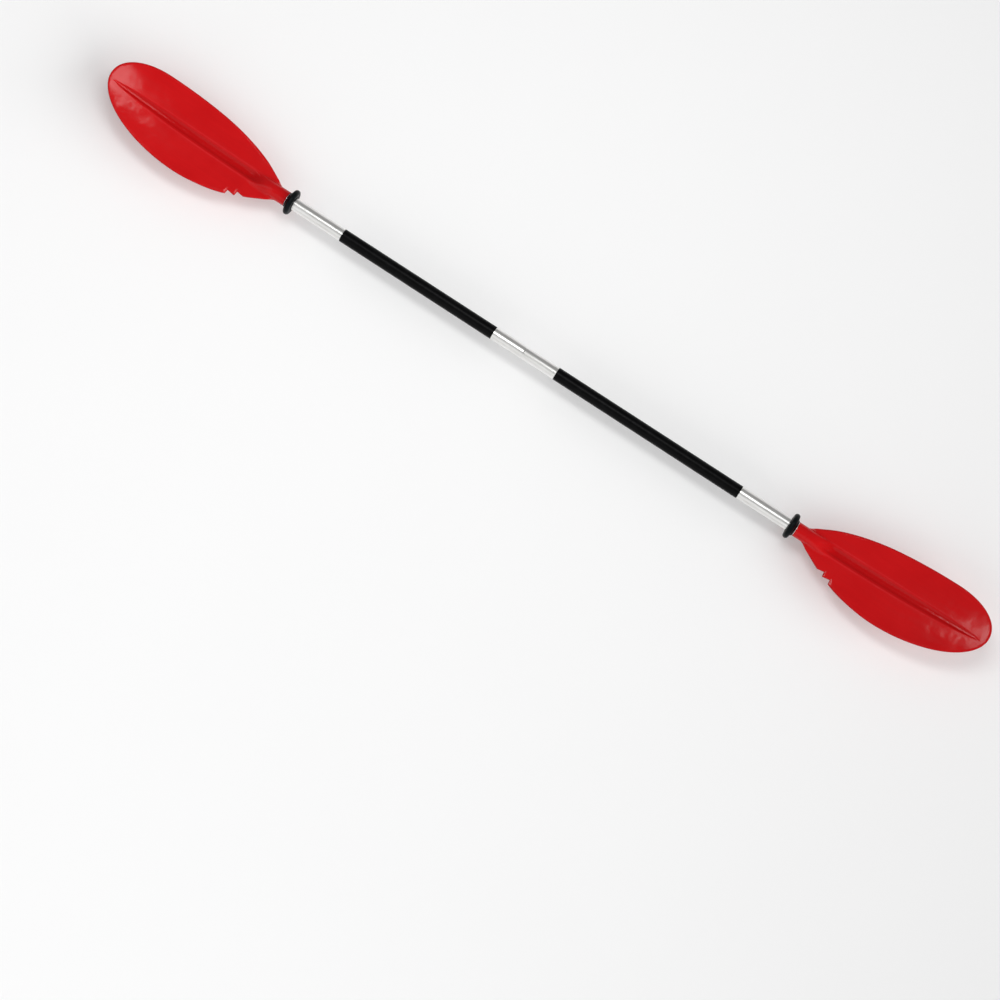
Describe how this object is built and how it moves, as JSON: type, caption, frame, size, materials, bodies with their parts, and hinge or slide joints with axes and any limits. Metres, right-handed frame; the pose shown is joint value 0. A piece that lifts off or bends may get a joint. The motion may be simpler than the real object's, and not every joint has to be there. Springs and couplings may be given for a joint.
{
  "type": "kayak paddle",
  "caption": "Double-bladed kayak paddle: an aluminium shaft in two halves that join in a swaged ferrule with a snap button, spooned blades, shrunk grips and drip rings.",
  "frame": {"origin": "on the shaft's axis at the ferrule seam, the socket half's open end", "axes": "+X along the shaft to the socket half's blade, +Y across to the blades' longer edges, +Z out of the blades' power faces"},
  "size_m": [2.18, 0.1665, 0.0604],
  "materials": {
    "blade_plastic": "moulded red plastic, semi-gloss",
    "shaft_metal": "satin anodised, silver",
    "grip_sleeve": "black shrink sleeve, soft sheen",
    "ring_rubber": "black rubber, satin",
    "spring_steel": "plated spring steel, bright",
    "foam": "closed-cell foam, matt",
    "rivet_metal": "plain aluminium rivet"
  },
  "bodies": {
    "socket_half": {"blade_right": "blade_plastic", "shaft_socket": "shaft_metal", "grip_right": "grip_sleeve", "foam_plug_socket": "foam", "blade_rivet_right": "rivet_metal"},
    "ferrule_slide": {"foam_plug_spigot": "foam"},
    "spigot_half": {"blade_left": "blade_plastic", "shaft_spigot": "shaft_metal", "grip_left": "grip_sleeve", "snap_spring": "spring_steel", "blade_rivet_left": "rivet_metal"},
    "snap_button": {"snap_button": "spring_steel"},
    "drip_ring_right": {"drip_ring_right": "ring_rubber"},
    "drip_ring_left": {"drip_ring_left": "ring_rubber"}
  },
  "joints": [
    {"name": "ferrule_pull", "type": "slide", "parent": "socket_half", "child": "ferrule_slide", "axis": [-1, 0, 0], "range_m": [0, 0.12], "deforming": ["snap_button"]},
    {"name": "feather_turn", "type": "hinge", "parent": "ferrule_slide", "child": "spigot_half", "pos_m": [0, 0, 0], "axis": [1, 0, 0], "range_deg": [-60, 60], "deforming": ["snap_button"]},
    {"name": "button_press", "type": "slide", "parent": "spigot_half", "child": "snap_button", "axis": [0, 0, 1], "range_m": [0, 0.0046], "stiffness_N_per_m": 1200, "springref_m": -0.002, "deforming": ["snap_spring", "snap_button"]},
    {"name": "drip_ring_right_slide", "type": "slide", "parent": "socket_half", "child": "drip_ring_right", "axis": [-1, 0, 0], "range_m": [0, 0.11]},
    {"name": "drip_ring_left_slide", "type": "slide", "parent": "spigot_half", "child": "drip_ring_left", "axis": [1, 0, 0], "range_m": [0, 0.11]}
  ]
}
